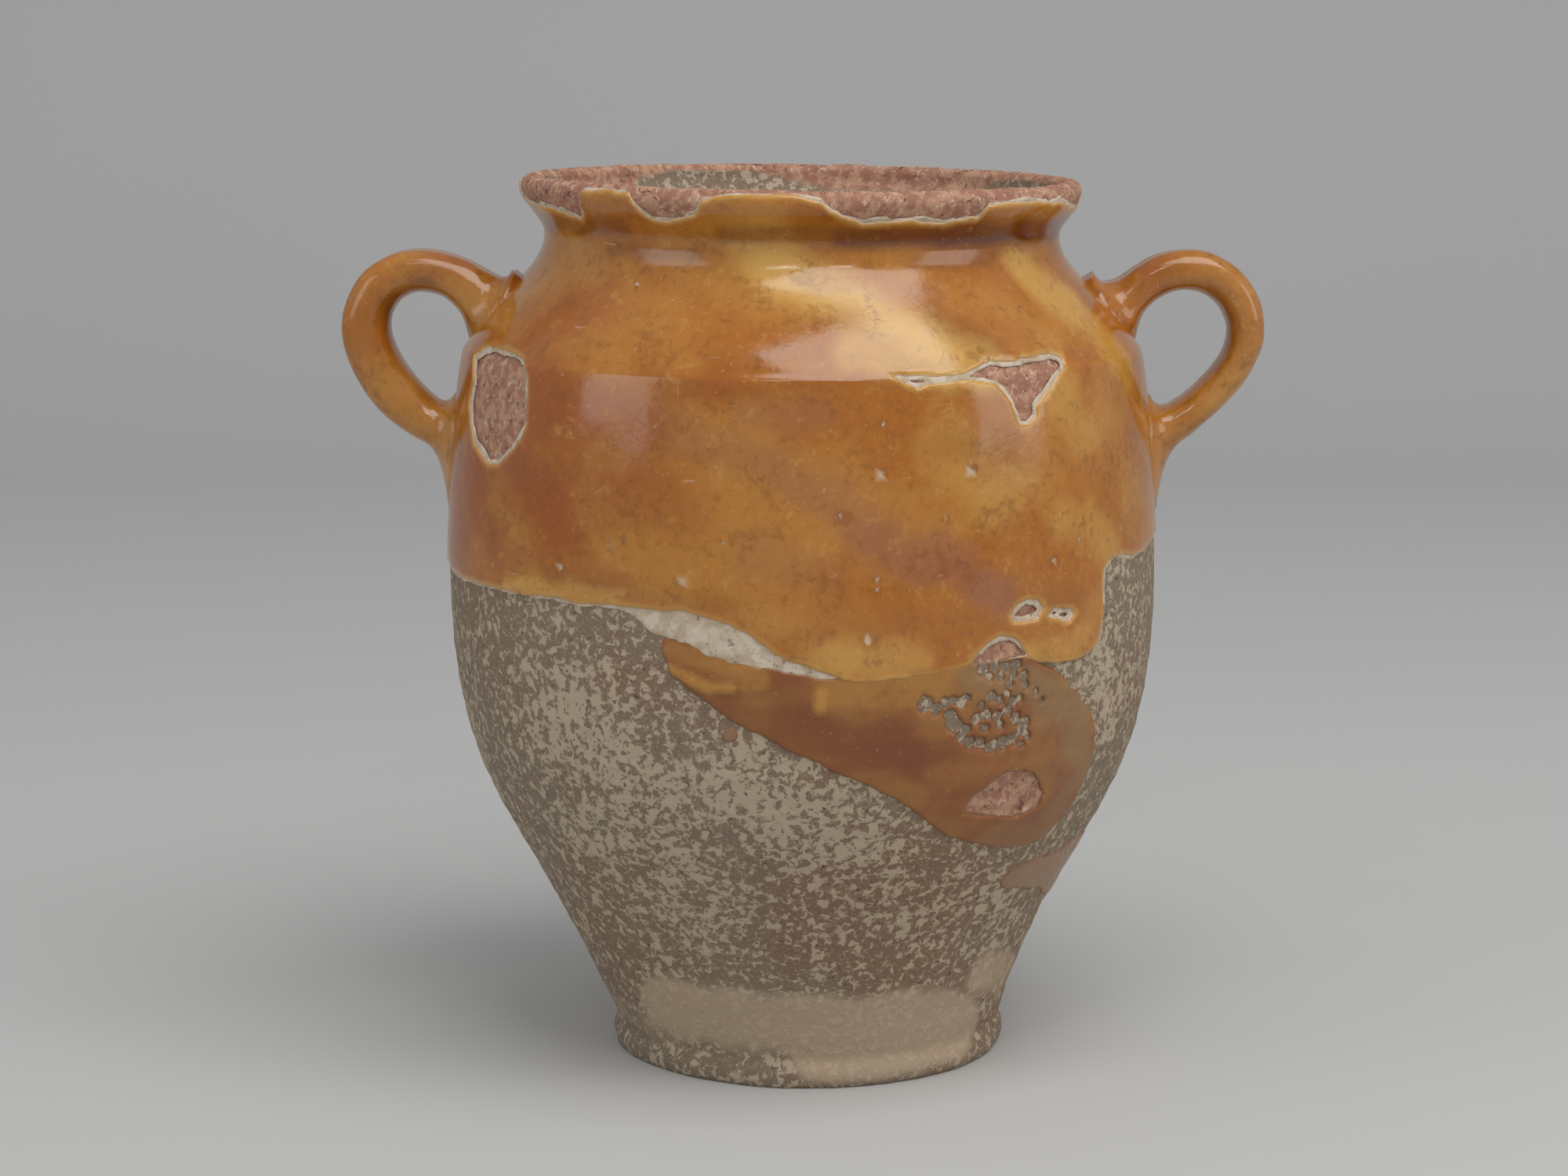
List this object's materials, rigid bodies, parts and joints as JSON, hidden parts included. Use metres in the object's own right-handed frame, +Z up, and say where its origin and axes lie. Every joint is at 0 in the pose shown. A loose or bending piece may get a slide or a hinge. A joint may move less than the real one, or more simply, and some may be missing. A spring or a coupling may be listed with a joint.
{
  "type": "confit pot",
  "caption": "Glazed earthenware confit pot: wide-bellied jar with a short neck, rolled lip and a strap ear handle each side.",
  "frame": {"origin": "middle of the flat foot, on the surface that the pot stands on", "axes": "+Z up along the jar's axis, +X to the right handle, -Y towards the side with the brown glaze run"},
  "size_m": [0.2714, 0.2102, 0.26],
  "materials": {
    "fired_clay": "bare fired earthenware, matt",
    "white_slip": "thin matt coat of white slip",
    "amber_glaze": "glossy amber lead glaze",
    "brown_glaze": "brown glaze on bare clay, softly glossy"
  },
  "bodies": {
    "root": {"thrown_jar": "fired_clay", "left_handle": "fired_clay", "right_handle": "fired_clay", "left_upper_luting": "fired_clay", "left_lower_luting": "fired_clay", "right_upper_luting": "fired_clay", "right_lower_luting": "fired_clay", "white_slip": "white_slip", "left_handle_slip": "white_slip", "right_handle_slip": "white_slip", "outer_glaze": "amber_glaze", "left_handle_glaze": "amber_glaze", "right_handle_glaze": "amber_glaze", "inner_glaze": "amber_glaze", "glaze_run": "brown_glaze", "side_splash": "brown_glaze"}
  },
  "joints": []
}
